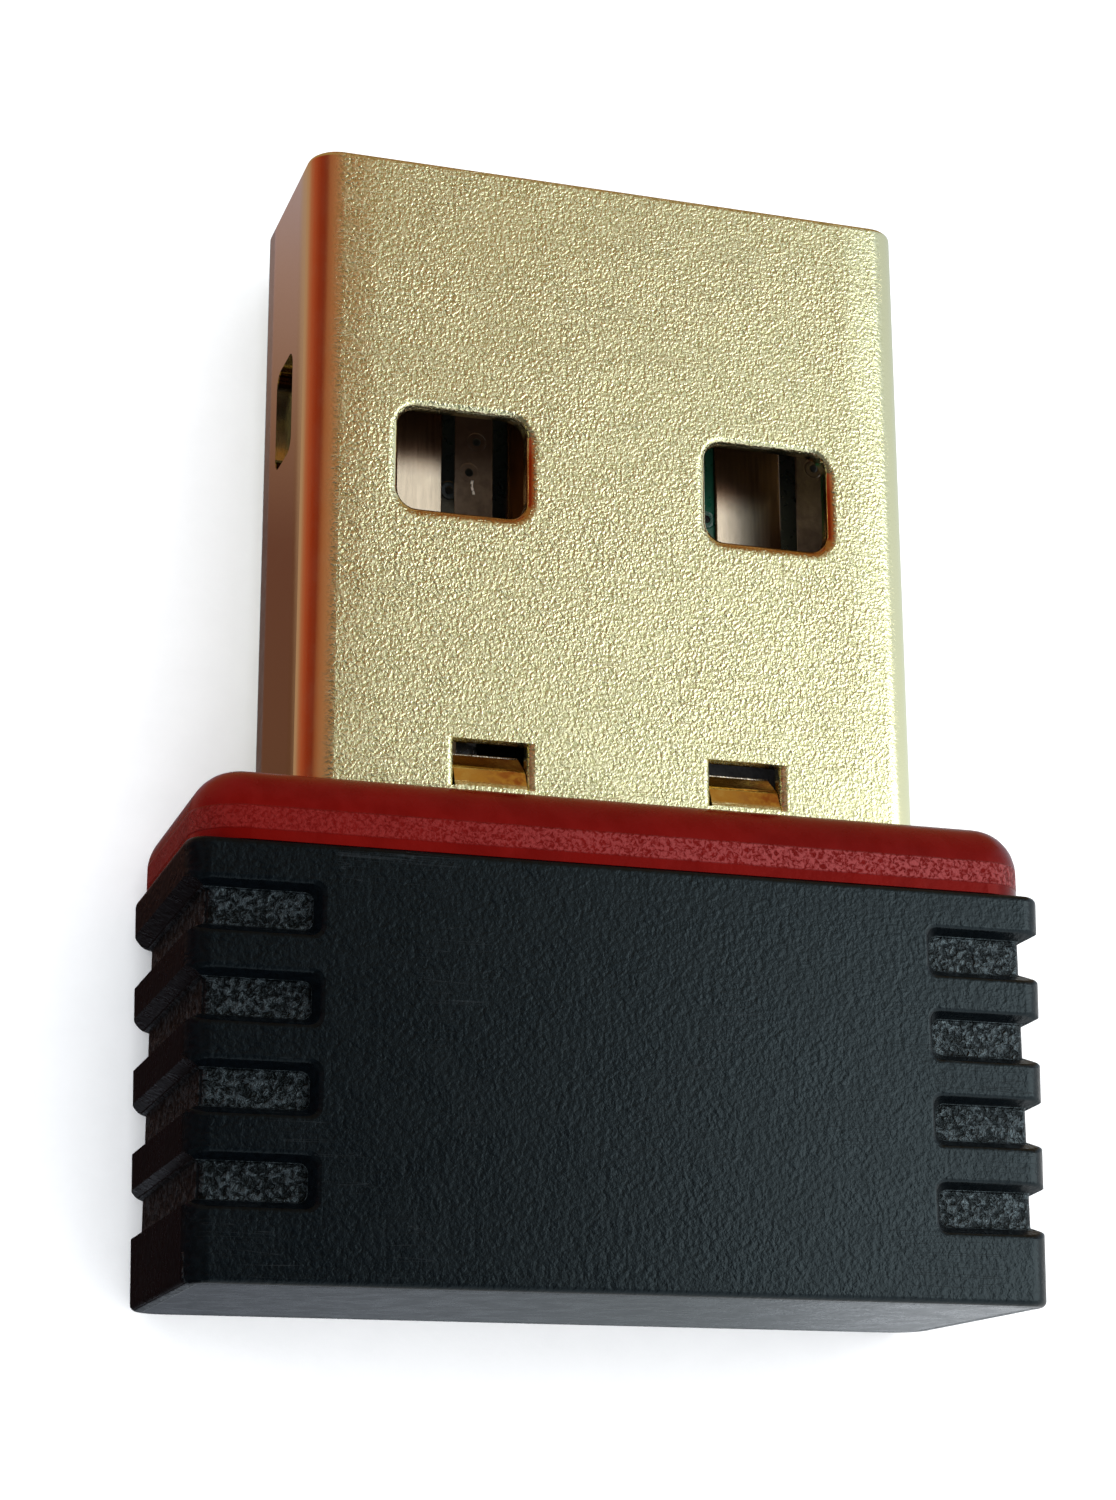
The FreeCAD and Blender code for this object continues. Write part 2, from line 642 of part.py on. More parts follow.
def wifi_chip_terminals():
    """Forty solder terminals round the chip and the ground paddle under it."""
    half = QFN_SIDE / 2
    profile = [
        V(half - QFN_LEAD_INNER, -QFN_LEAD_HALF, 0),
        V(half + QFN_LEAD_OUTER, -QFN_LEAD_HALF, 0),
        V(half, -QFN_LEAD_HALF, QFN_LEAD_CREST),
        V(half, -QFN_LEAD_HALF, SOLDER_GAP),
        V(half - QFN_LEAD_INNER, -QFN_LEAD_HALF, SOLDER_GAP),
    ]
    lead = prism(profile, V(0, 2 * QFN_LEAD_HALF, 0))
    paddle = (-QFN_PADDLE / 2, QFN_PADDLE / 2)
    solids = [box(paddle, paddle, (0, SOLDER_GAP))]
    for turn in (0, 90, 180, 270):
        for number in range(QFN_LEADS):
            one = lead.copy()
            one.translate(V(0, (number - (QFN_LEADS - 1) / 2) * QFN_PITCH, 0))
            one.rotate(V(0, 0, 0), V(0, 0, 1), turn)
            solids.append(one)
    return [place(s, *QFN_AT, 0) for s in solids]


CRYSTAL_AT = (3.2, 7.5)
CRYSTAL_SIZE = (2.0, 2.5)
CRYSTAL_BASE_TOP = 0.42
CRYSTAL_LID_TOP = 0.62
CRYSTAL_BASE_CORNER = 0.15
CRYSTAL_LID_RIM = 0.17   # ceramic left showing round the lid
CRYSTAL_LID_CORNER = 0.2
CRYSTAL_LID_ROUND = 0.06
CRYSTAL_PAD = (0.65, 0.75)
CRYSTAL_PAD_OUT = 0.1    # how far the pads stand out from under the base


def crystal():
    """The crystal's ceramic base, its welded lid and its four solder pads."""
    half_x, half_y = CRYSTAL_SIZE[0] / 2, CRYSTAL_SIZE[1] / 2
    base = box((-half_x, half_x), (-half_y, half_y), (SOLDER_GAP, CRYSTAL_BASE_TOP))
    base_middle = (SOLDER_GAP + CRYSTAL_BASE_TOP) / 2
    base = fillet_where(base, CRYSTAL_BASE_CORNER, lambda at: near(at.z, base_middle))
    lid_x, lid_y = half_x - CRYSTAL_LID_RIM, half_y - CRYSTAL_LID_RIM
    lid = box((-lid_x, lid_x), (-lid_y, lid_y), (CRYSTAL_BASE_TOP, CRYSTAL_LID_TOP))
    lid_middle = (CRYSTAL_BASE_TOP + CRYSTAL_LID_TOP) / 2
    lid = fillet_where(lid, CRYSTAL_LID_CORNER, lambda at: near(at.z, lid_middle))
    lid = fillet_where(lid, CRYSTAL_LID_ROUND, lambda at: near(at.z, CRYSTAL_LID_TOP))
    pads = []
    for side_x in SIDES:
        for side_y in SIDES:
            x = sorted((side_x * (half_x - CRYSTAL_PAD[0]), side_x * (half_x + CRYSTAL_PAD_OUT)))
            y = sorted((side_y * (half_y - CRYSTAL_PAD[1]), side_y * (half_y + CRYSTAL_PAD_OUT)))
            pads.append(box(x, y, (0, SOLDER_GAP)))
    groups = ([base], [lid], pads)
    return [[place(solid, *CRYSTAL_AT, 0) for solid in group] for group in groups]


REGULATOR_AT = (3.3, 4.35)
REGULATOR_BODY = (1.6, 2.9)
REGULATOR_HEIGHT = 1.15
LEAD_SPAN = 1.4          # from the middle to a lead's toe
LEAD_WIDTH = 0.4
LEAD_PITCH = 0.95
LEAD_THICK = 0.13
LEAD_HIGH = 0.6
LEAD_KNEE = 0.2          # from the body to the bend
REGULATOR_STANDOFF = 0.1
REGULATOR_CHAMFER = 0.12


def regulator_body():
    half_x, half_y = REGULATOR_BODY[0] / 2, REGULATOR_BODY[1] / 2
    body = box((-half_x, half_x), (-half_y, half_y), (REGULATOR_STANDOFF, REGULATOR_HEIGHT))
    top = [e for e in body.Edges if near(e.CenterOfMass.z, REGULATOR_HEIGHT)]
    return [place(body.makeChamfer(REGULATOR_CHAMFER, top), *REGULATOR_AT, 0)]


def regulator_leads():
    """Five gull-wing leads, three on one side and two on the other."""
    half_x = REGULATOR_BODY[0] / 2
    low = -LEAD_WIDTH / 2
    knee = half_x + LEAD_KNEE
    profile = [
        V(half_x, low, LEAD_HIGH),
        V(knee, low, LEAD_HIGH),
        V(knee + LEAD_THICK, low, LEAD_THICK),
        V(LEAD_SPAN, low, LEAD_THICK),
        V(LEAD_SPAN, low, 0),
        V(knee, low, 0),
        V(knee - LEAD_THICK / 2, low, LEAD_HIGH - LEAD_THICK),
        V(half_x, low, LEAD_HIGH - LEAD_THICK),
    ]
    lead = prism(profile, V(0, LEAD_WIDTH, 0))
    leads = []
    for turn, rows in ((0, (-1, 0, 1)), (180, (-1, 1))):
        for row in rows:
            one = lead.copy()
            one.translate(V(0, row * LEAD_PITCH, 0))
            one.rotate(V(0, 0, 0), V(0, 0, 1), turn)
            leads.append(place(one, *REGULATOR_AT, 0))
    return leads


INDUCTOR_AT = (3.3, 10.6)
INDUCTOR_SIZE = (2.5, 2.0)
INDUCTOR_PLATE = 0.3
INDUCTOR_HEIGHT = 1.25
POST_RADIUS = 0.5
WINDING_RADIUS = 0.88
WINDING_CLEAR = 0.01
INDUCTOR_CORNER = 0.3
INDUCTOR_BAND = 0.6      # how far a terminal runs in under the core
INDUCTOR_TOE = 0.15      # how far its solder stands out
INDUCTOR_INSET = 0.1     # from the core's side to the terminal's


def power_inductor():
    """A drum core with its copper winding and two soldered end terminals."""
    half_x, half_y = INDUCTOR_SIZE[0] / 2, INDUCTOR_SIZE[1] / 2
    low_top = SOLDER_GAP + INDUCTOR_PLATE
    high_low = INDUCTOR_HEIGHT - INDUCTOR_PLATE
    foot = box((-half_x, half_x), (-half_y, half_y), (SOLDER_GAP, low_top))
    head = box((-half_x, half_x), (-half_y, half_y), (high_low, INDUCTOR_HEIGHT))
    head_middle = (high_low + INDUCTOR_HEIGHT) / 2
    head = fillet_where(head, INDUCTOR_CORNER, lambda at: near(at.z, head_middle))
    post_height = high_low - low_top + 2 * OVERLAP
    post = Part.makeCylinder(POST_RADIUS, post_height, V(0, 0, low_top - OVERLAP))
    core = fuse_all([foot, post, head])
    ring = Part.makeCylinder(WINDING_RADIUS, high_low - low_top, V(0, 0, low_top))
    bore = Part.makeCylinder(POST_RADIUS + WINDING_CLEAR, high_low - low_top, V(0, 0, low_top))
    winding = ring.cut(bore)
    side = INDUCTOR_INSET - half_y
    profile = [
        V(half_x - INDUCTOR_BAND, side, 0),
        V(half_x + INDUCTOR_TOE, side, 0),
        V(half_x, side, low_top),
        V(half_x, side, SOLDER_GAP),
        V(half_x - INDUCTOR_BAND, side, SOLDER_GAP),
    ]
    terminal = prism(profile, V(0, -2 * side, 0))
    groups = ([core], [winding], both_sides(terminal))
    return [[place(solid, *INDUCTOR_AT, 0) for solid in group] for group in groups]


ANTENNA_THICK = 0.06
ANTENNA_TRACE = 0.28
ANTENNA_PITCH = 0.62
ANTENNA_Y = (1.45, 2.35)
ANTENNA_X = (-5.8, 1.02)
ANTENNA_FEED_END = 1.85


def printed_antenna():
    """A meandering copper trace along the board's end, inside the plastic end of the cap."""
    z = (BOARD_TOP, BOARD_TOP + ANTENNA_THICK)
    legs = int((ANTENNA_X[1] - ANTENNA_X[0]) / ANTENNA_PITCH) + 1
    pieces = []
    for number in range(legs):
        x = ANTENNA_X[1] - number * ANTENNA_PITCH
        pieces.append(box((x - ANTENNA_TRACE / 2, x + ANTENNA_TRACE / 2), ANTENNA_Y, z))
        if number < legs - 1:
            y = ANTENNA_Y[0] if number % 2 == 0 else ANTENNA_Y[1] - ANTENNA_TRACE
            link = (x - ANTENNA_PITCH - ANTENNA_TRACE / 2, x + ANTENNA_TRACE / 2)
            pieces.append(box(link, (y, y + ANTENNA_TRACE), z))
    feed_y = ANTENNA_Y[1] - ANTENNA_TRACE
    pieces.append(box((ANTENNA_X[1], ANTENNA_FEED_END), (feed_y, ANTENNA_Y[1]), z))
    return fuse_all(pieces)


def main():
    os.makedirs("parts", exist_ok=True)
    export("housing_cap", [housing_cap()])
    export("collar", [collar()])
    export("plug_shell", [plug_shell()])
    export("circuit_board", [circuit_board()])
    export("plated_vias", plated_vias())
    export("tongue_spacer", [tongue_spacer()])
    export("contact_vbus", [contact(OUTER_CONTACT_X, OUTER_CONTACT_WIDTH, OUTER_CONTACT_END)])
    export("contact_data_minus", [contact(INNER_CONTACT_X, INNER_CONTACT_WIDTH, INNER_CONTACT_END)])
    export("contact_data_plus", [contact(-INNER_CONTACT_X, INNER_CONTACT_WIDTH, INNER_CONTACT_END)])
    export("contact_ground", [contact(-OUTER_CONTACT_X, OUTER_CONTACT_WIDTH, OUTER_CONTACT_END)])
    export("shell_solder", leg_solder())
    export("wifi_chip", [wifi_chip()])
    export("wifi_chip_terminals", wifi_chip_terminals())
    base, lid, pads = crystal()
    export("crystal_base", base)
    export("crystal_lid", lid)
    export("crystal_pads", pads)
    export("regulator_body", regulator_body())
    export("regulator_leads", regulator_leads())
    core, winding, terminals = power_inductor()
    export("inductor_core", core)
    export("inductor_winding", winding)
    export("inductor_terminals", terminals)
    export("printed_antenna", [printed_antenna()])
    groups = (
        ("capacitor", CAPACITORS, SIZE_0402),
        ("resistor", RESISTORS, SIZE_0402_FLAT),
        ("matching_inductor", MATCHING_INDUCTORS, SIZE_0402),
        ("bulk_capacitor", BULK_CAPACITORS, SIZE_0805),
        ("ferrite_bead", FERRITE_BEADS, SIZE_0603),
    )
    for name, places, size in groups:
        bodies, ends = chip_group(places, size)
        export(name + "_bodies", bodies)
        export(name + "_terminals", ends)


main()
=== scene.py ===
import math
import random
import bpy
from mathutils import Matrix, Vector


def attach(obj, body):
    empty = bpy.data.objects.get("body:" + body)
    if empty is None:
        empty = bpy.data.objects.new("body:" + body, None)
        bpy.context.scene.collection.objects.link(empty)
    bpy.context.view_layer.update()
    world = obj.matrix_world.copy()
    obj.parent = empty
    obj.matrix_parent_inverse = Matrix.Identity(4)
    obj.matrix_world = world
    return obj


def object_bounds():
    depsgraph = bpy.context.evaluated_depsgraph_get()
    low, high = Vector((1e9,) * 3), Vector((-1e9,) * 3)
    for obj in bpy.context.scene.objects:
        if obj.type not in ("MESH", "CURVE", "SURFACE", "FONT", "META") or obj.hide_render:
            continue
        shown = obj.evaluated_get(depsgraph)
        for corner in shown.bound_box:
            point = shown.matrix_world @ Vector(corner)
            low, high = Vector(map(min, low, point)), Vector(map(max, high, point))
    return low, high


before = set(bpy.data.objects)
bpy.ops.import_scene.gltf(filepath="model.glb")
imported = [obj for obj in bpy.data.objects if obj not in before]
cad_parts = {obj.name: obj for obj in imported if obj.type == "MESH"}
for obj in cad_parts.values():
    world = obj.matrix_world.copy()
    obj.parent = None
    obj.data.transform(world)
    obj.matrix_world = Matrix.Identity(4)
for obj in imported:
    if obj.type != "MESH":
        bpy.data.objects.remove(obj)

from types import SimpleNamespace

import bpy
from mathutils import Matrix, Vector

# The adapter lies on its rear face on a pale floor. X runs across it, Y along the plug, Z up, all in metres.
MM = 0.001
cad_low, cad_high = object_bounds()
random.seed(11)


# ---- the adapter's sizes in millimetres, as the model has them ----
HALF_LENGTH = 10.68
THICK = 6.0
MID_Z = THICK / 2
CAP_RIM = -3.08          # where the cap's mouth meets the collar
INNER_HALF = 5.7         # the inside of the plug's shell
INNER_Z = (1.05, 4.95)
HALF_SHELL = 6.0
WINDOW_X = 3.03          # middle of a latch window, each side of the plug's middle
WINDOW_HALF = 1.25
WINDOW_Y = (3.62, 5.65)
WINDOW_CORNER = 0.38
LIP_Y = (3.62, 5.50)     # the rolled lip follows the window, but stops short of its far edge
HOLE_Y = (5.12, 7.15)    # side holes
HOLE_Z = (2.35, 3.75)
TAB_X = (1.80, 3.14)     # lanced tabs
TAB_Y = (-1.75, -0.8)
TAB_END = (-0.869, 4.622)
GROOVE_FIRST = 1.725     # from the closed end to the middle of the first groove
GROOVE_PITCH = 1.565
GROOVE_DEPTH = 0.29
GROOVES_END = -3.75
BODY_HALF = 8.0
BOARD_TOP = 2.9
BOARD_LOW = 1.9
CONTACT_TOP = 3.0
EDGE = 0.01              # a mask stops this far from an edge


# ---- materials ----
class Material:
    """A node material. Its textures run on the row frame in millimetres."""

    def __init__(self, name, **sockets):
        self.data = bpy.data.materials.new(name)
        self.data.use_nodes = True
        self.tree = self.data.node_tree
        self.tree.nodes.clear()
        output = self.tree.nodes.new("ShaderNodeOutputMaterial")
        self.shader = self.tree.nodes.new("ShaderNodeBsdfPrincipled")
        self.tree.links.new(self.shader.outputs[0], output.inputs["Surface"])
        for socket, value in sockets.items():
            self.set(socket.replace("_", " "), value)
        metres = self.node("TexCoord").outputs["Object"]
        scaled = self.node("VectorMath", {0: metres, "Scale": 1 / MM}, operation="SCALE")
        self.place = scaled.outputs[0]
        parts = self.node("SeparateXYZ", {0: self.place}).outputs
        self.x, self.y, self.z = parts

    def node(self, kind, inputs=None, **settings):
        made = self.tree.nodes.new("ShaderNode" + kind)
        for name, value in settings.items():
            setattr(made, name, value)
        for key, value in (inputs or {}).items():
            self.feed(made.inputs[key], value)
        return made

    def feed(self, socket, value):
        if isinstance(value, bpy.types.NodeSocket):
            self.tree.links.new(value, socket)
        else:
            socket.default_value = value

    def set(self, socket, value):
        if isinstance(value, tuple) and len(value) == 3:
            value = (*value, 1)
        self.feed(self.shader.inputs[socket], value)

    def math(self, operation, a, b=0.0, clamp=False):
        return self.node("Math", {0: a, 1: b}, operation=operation, use_clamp=clamp).outputs[0]

    def span(self, value, low, high, to_low=0.0, to_high=1.0):
        """Smooth step of a value from low to high."""
        inputs = {"Value": value, "From Min": low, "From Max": high, "To Min": to_low, "To Max": to_high}
        return self.node("MapRange", inputs, interpolation_type="SMOOTHSTEP").outputs[0]

    def band(self, value, low, high, soft):
        """1 between low and high, fading over soft at each end."""
        rise = self.span(value, low - soft, low)
        fall = self.span(value, high, high + soft, 1, 0)
        return self.math("MULTIPLY", rise, fall)

    def moved(self, stretch=(1, 1, 1), turn=(0, 0, 0), shift=(0, 0, 0)):
        inputs = {"Vector": self.place, "Scale": stretch, "Rotation": turn, "Location": shift}
        return self.node("Mapping", inputs).outputs[0]

    def noise(self, scale, detail=2.0, rough=0.5, distortion=0.0, vector=None):
        """Cells of about 1 / scale millimetres, from 0 to 1."""
        inputs = {"Vector": vector or self.place, "Scale": scale, "Detail": detail, "Roughness": rough}
        return self.node("TexNoise", {**inputs, "Distortion": distortion}).outputs["Fac"]

    def specks(self, scale, radius, share):
        """Round specks in some of the cells."""
        cells = self.node("TexVoronoi", {"Vector": self.place, "Scale": scale})
        draw = self.node("SeparateXYZ", {0: cells.outputs["Color"]}).outputs[0]
        chosen = self.math("GREATER_THAN", draw, 1 - share)
        near = self.span(cells.outputs["Distance"], radius * scale * 0.6, radius * scale, 1, 0)
        return self.math("MULTIPLY", near, chosen)

    def scratches(self, turn, scale, share):
        """Sparse fine lines, turned in the XY plane."""
        lines = self.noise(scale, 1, 0.4, 0.05, self.moved((0.035, 1, 1), (0, 0, turn), (3.1, 0.7, 0)))
        thin = self.band(lines, 0.5, 0.504, 0.005)
        cloud = self.noise(0.45, 1, 0.5, 0, self.moved(shift=(turn, 2 * turn, 0)))
        patch = self.span(cloud, 1 - share, 1.06 - share)
        return self.math("MULTIPLY", thin, patch)

    def outside_box(self, x, y, half_x, half_y, corner):
        """Millimetres outside a rounded rectangle that is centred on zero."""
        reach = []
        for value, half in ((x, half_x), (y, half_y)):
            past = self.math("SUBTRACT", self.math("ABSOLUTE", value), half - corner)
            reach.append(self.math("MAXIMUM", past, 0.0))
        pair = self.node("CombineXYZ", {0: reach[0], 1: reach[1]}).outputs[0]
        length = self.node("VectorMath", {0: pair}, operation="LENGTH").outputs["Value"]
        return self.math("SUBTRACT", length, corner)

    def offset(self, value, middle):
        return self.math("SUBTRACT", value, middle)

    def mix(self, share, a, b):
        made = self.node("Mix", data_type="RGBA", clamp_factor=True)
        ends = {"Factor": share, "A": a, "B": b}
        sockets = {"Factor": made.inputs[0], "A": made.inputs[6], "B": made.inputs[7]}
        for key, value in ends.items():
            self.feed(sockets[key], (*value, 1) if isinstance(value, tuple) else value)
        return made.outputs[2]

    def bump(self, height, depth, under=None):
        """A height from 0 to 1 as a relief of the given depth in millimetres."""
        inputs = {"Height": height, "Distance": depth * MM, "Strength": 1.0}
        made = self.node("Bump", inputs)
        if under is not None:
            self.feed(made.inputs["Normal"], under)
        return made.outputs[0]

    def leaning(self):
        """A normal that leans towards the closed end and a little towards the middle."""
        left = self.times(self.math("MINIMUM", self.x, 0.0), -0.055)
        # The right-hand contact curves over, from near its inner edge.
        past = self.math("MAXIMUM", self.offset(self.x, 2.9), 0.0)
        right = self.times(self.times(past, past), 0.035)
        slope = self.total(left, right, self.times(self.y, 0.17))
        return self.bump(slope, 1.0)

    def total(self, *values):
        sum_so_far = values[0]
        for value in values[1:]:
            sum_so_far = self.math("ADD", sum_so_far, value)
        return sum_so_far

    def times(self, value, factor):
        return self.math("MULTIPLY", value, factor)


def plug_zones(m, grain):
    """The places on the plug's shell that differ, each as a mask from 0 to 1."""
    side = m.math("ABSOLUTE", m.x)
    rise = m.math("ABSOLUTE", m.offset(m.z, MID_Z))
    lip_half = (WINDOW_HALF, (LIP_Y[1] - LIP_Y[0]) / 2, WINDOW_CORNER)
    lip = m.outside_box(m.offset(side, WINDOW_X), m.offset(m.y, sum(LIP_Y) / 2), *lip_half)
    roll = m.span(m.total(lip, m.times(grain, 0.12)), 0.22, 0.14)
    tab = m.times(m.band(m.y, *TAB_Y, 0.06), m.span(rise, 2.235, 2.20))
    tab = m.times(tab, m.band(side, *TAB_X, 0.03))
    # Only the wide faces are grained, up to the lips of the windows and the tabs.
    wide = m.times(m.span(side, 5.7, 5.35), m.span(rise, 1.95, 2.2))
    face = m.times(wide, m.span(m.total(tab, roll), 1, 0))
    inside = m.band(m.z, INNER_Z[0] + EDGE, INNER_Z[1] - 2 * EDGE, 0.02)
    inside = m.times(inside, m.span(side, INNER_HALF + EDGE, INNER_HALF - EDGE))
    hole = m.times(
        m.band(m.z, HOLE_Z[0] + EDGE, HOLE_Z[1] - EDGE, 0.01),
        m.band(m.y, HOLE_Y[0] + EDGE, HOLE_Y[1] - EDGE, 0.01),
    )
    hole = m.times(hole, m.band(side, INNER_HALF - 0.1, HALF_SHELL - 0.03, 0.02))
    return SimpleNamespace(
        side=side, rise=rise, lip=lip, roll=roll, tab=tab, face=face, inside=inside, hole=hole
    )


def gold_relief(m, zones, grain, lines, specks):
    """Grain on the wide faces, over the gentle curves of the folded and punched sheet."""
    fine = m.noise(34, 1, 0.5, 0.2)
    calm = m.times(m.span(m.noise(0.5, 1, 0.5), 0.35, 0.7, 0.8, 1.1), m.span(m.y, -2.5, 3.0, 0.55, 1.0))
    relief = m.times(m.total(grain, m.times(fine, 0.2)), m.times(calm, m.span(zones.face, 0, 1, 0.05, 1.0)))
    # The wide faces fall towards the long corners, more so near the tip, and the narrow faces bulge.
    crown = m.times(m.span(zones.side, 4.7, 6.3), m.span(m.y, -3.0, 9.0, -0.1, -1.0))
    normal = m.bump(crown, 0.11)
    normal = m.bump(m.times(m.span(zones.rise, 1.0, 2.3), -1.0), 0.14, normal)
    normal = m.bump(m.times(m.span(zones.lip, 0.20, 0.02), -1.0), 0.032, normal)
    normal = m.bump(relief, 0.0175, normal)
    return m.bump(m.total(m.times(lines, -1.0), m.times(specks, -2.0)), 0.004, normal)


def gold_colour(m, zones, grain, lines, specks):
    """Pale gold, with painted shade in the grain's hollows, inside the shell, in the side holes and down the
    tabs, painted highlights on the grain's tops and a painted warm reflection on the lips.
    """
    # The grain's hollows are painted olive and its tops cream: painted shade and painted highlight on the
    # relief.
    colour = m.mix(m.span(grain, 0.34, 0.62), (0.56, 0.57, 0.29), (0.93, 0.92, 0.62))
    colour = m.mix(m.span(zones.face, 0, 1, 1, 0), colour, (0.84, 0.80, 0.50))
    colour = m.mix(m.times(m.noise(1.3, 3, 0.6), 0.4), colour, (0.84, 0.80, 0.48))
    colour = m.mix(m.times(lines, 0.3), colour, (0.38, 0.25, 0.12))
    # Each window's lip has a painted warm reflection on its right and on the side nearer the collar.
    sign = m.node("Math", {0: m.x}, operation="SIGN").outputs[0]
    across = m.times(m.offset(m.x, m.times(sign, WINDOW_X)), 0.6)
    painted_reflection_side = m.span(m.offset(across, m.offset(m.y, sum(WINDOW_Y) / 2)), 0.1, 0.7)
    colour = m.mix(m.times(zones.roll, painted_reflection_side), colour, (0.60, 0.36, 0.15))
    # Inside the shell the gold is painted dark brown: painted shade.
    colour = m.mix(m.times(zones.inside, 0.9), colour, (0.13, 0.075, 0.03))
    # The side holes' walls are painted near black: painted shade.
    colour = m.mix(zones.hole, colour, (0.045, 0.022, 0.012))
    # Each tab is painted darker and browner towards its right, with random blotches: painted shade.
    along_tab = m.offset(m.x, m.times(m.math("GREATER_THAN", m.x, 0.0), sum(TAB_X)))
    tab_painted_shade = m.mix(m.span(along_tab, -3.05, -2.0), (0.88, 0.70, 0.27), (0.52, 0.22, 0.07))
    tab_painted_shade = m.mix(m.span(m.noise(5, 3, 0.6), 0.35, 0.65), tab_painted_shade, (0.80, 0.55, 0.16))
    colour = m.mix(zones.tab, colour, tab_painted_shade)
    return m.mix(specks, colour, (0.05, 0.035, 0.02))


def gold_plate():
    m = Material("gold_plate", Metallic=1.0)
    grain = m.noise(16.0, 1.0, 0.45, 0.5)
    zones = plug_zones(m, grain)
    lines = m.total(m.scratches(-0.42, 9, 0.5), m.scratches(1.05, 8, 0.42), m.scratches(0.2, 10, 0.4))
    lines = m.times(lines, zones.face)
    specks = m.specks(0.9, 0.035, 0.14)
    m.set("Base Color", gold_colour(m, zones, grain, lines, specks))
    rough = m.span(m.noise(2.5, 3, 0.6), 0.3, 0.7, 0.23, 0.30)
    smooth = m.span(m.noise(3.0, 3, 0.6), 0.3, 0.7, 0.10, 0.14)
    m.set("Roughness", m.total(m.mix(zones.face, smooth, rough), m.times(lines, 0.1)))
    m.set("Normal", gold_relief(m, zones, grain, lines, specks))
    return m.data


def groove_floors(m):
    """1 on the rough floors of the grip grooves, on the wide and the narrow faces."""
    top_floor = m.band(m.z, THICK - GROOVE_DEPTH - 0.03, THICK - GROOVE_DEPTH + 0.035, 0.02)
    low_floor = m.band(m.z, GROOVE_DEPTH - 0.035, GROOVE_DEPTH + 0.03, 0.02)
    floor_x = BODY_HALF - GROOVE_DEPTH
    side_floor = m.band(m.math("ABSOLUTE", m.x), floor_x - 0.05, floor_x + 0.12, 0.02)
    side_floor = m.times(side_floor, m.band(m.z, 0.4, THICK - 0.4, 0.05))
    floors = m.math("MAXIMUM", m.math("MAXIMUM", top_floor, low_floor), side_floor)
    from_half_pitch = m.math("ADD", m.y, HALF_LENGTH - GROOVE_FIRST + GROOVE_PITCH / 2)
    along = m.math("FRACT", m.times(from_half_pitch, 1 / GROOVE_PITCH))
    rows = m.times(m.band(along, 0.28, 0.72, 0.01), m.span(m.y, GROOVES_END, GROOVES_END + 0.05, 1, 0))
    return m.times(floors, rows)


def cap_plastic():
    m = Material("cap_plastic", Specular_Tint=(0.70, 0.92, 1.0))
    floors = groove_floors(m)
    fine = m.noise(9, 2, 0.55, 0.2)
    soft = m.noise(3.4, 2, 0.5)
    coarse = m.noise(8.5, 3, 0.6, 0.6)
    relief = m.mix(floors, m.total(fine, m.times(soft, 0.5)), m.times(coarse, 6.5))
    specks = m.specks(1.3, 0.03, 0.1)
    normal = m.bump(relief, 0.012)
    lines = m.scratches(0.5, 8, 0.45)
    normal = m.bump(m.total(m.times(specks, -1.5), m.times(lines, -0.3)), 0.006, normal)
    colour = m.mix(m.span(fine, 0.3, 0.7), (0.0004, 0.0007, 0.0012), (0.0010, 0.0018, 0.0027))
    rough_floor = m.mix(m.span(coarse, 0.44, 0.66), (0.0002, 0.0004, 0.0006), (0.010, 0.013, 0.016))
    colour = m.mix(floors, colour, rough_floor)
    gloss = m.span(m.times(floors, m.span(coarse, 0.46, 0.60)), 0, 1, 1.0, 3.2)
    # The specular level falls towards the left: painted shade on the cap's left side.
    m.set("Specular IOR Level", m.times(gloss, m.span(m.x, -7.0, 4.5, 0.15, 0.31)))
    colour = m.mix(m.times(lines, 0.12), colour, (0.05, 0.055, 0.06))
    m.set("Base Color", colour)
    rough = m.total(m.span(m.noise(1.6, 3, 0.6), 0.3, 0.7, 0.25, 0.32), m.times(floors, 0.05))
    m.set("Roughness", rough)
    m.set("Normal", normal)
    return m.data


def collar_plastic():
    m = Material("collar_plastic", Specular_IOR_Level=0.3, Specular_Tint=(1.0, 0.14, 0.12))
    # The textured band runs from about 0.2 to 0.6 mm past the cap's rim.
    textured = m.band(m.y, CAP_RIM + 0.22, CAP_RIM + 0.58, 0.05)
    gloss_line = m.band(m.y, CAP_RIM - 0.12, CAP_RIM + 0.18, 0.02)
    grain = m.noise(14, 2, 0.55, 0.6)
    wavy = m.noise(2.2, 2, 0.5)
    relief = m.total(m.times(grain, m.span(textured, 0, 1, 0.1, 1.9)), m.times(wavy, 0.35))
    specks = m.specks(1.7, 0.03, 0.14)
    normal = m.bump(m.total(relief, m.times(specks, 0.4)), 0.02)
    colour = m.mix(m.span(m.noise(1.1, 3, 0.6), 0.3, 0.7), (0.074, 0.0012, 0.0008), (0.094, 0.0016, 0.0010))
    # The textured band's colour is lighter towards the right: painted light.
    band = m.mix(m.span(m.x, -7, 6), (0.115, 0.007, 0.006), (0.19, 0.036, 0.036))
    colour = m.mix(m.times(textured, m.span(grain, 0.38, 0.60)), colour, band)
    colour = m.mix(m.times(specks, 0.4), colour, (0.3, 0.06, 0.05))
    m.set("Base Color", colour)
    rough = m.total(m.span(wavy, 0.3, 0.7, 0.24, 0.32), m.times(textured, 0.16), m.times(gloss_line, -0.06))
    m.set("Roughness", rough)
    m.set("Normal", normal)
    return m.data


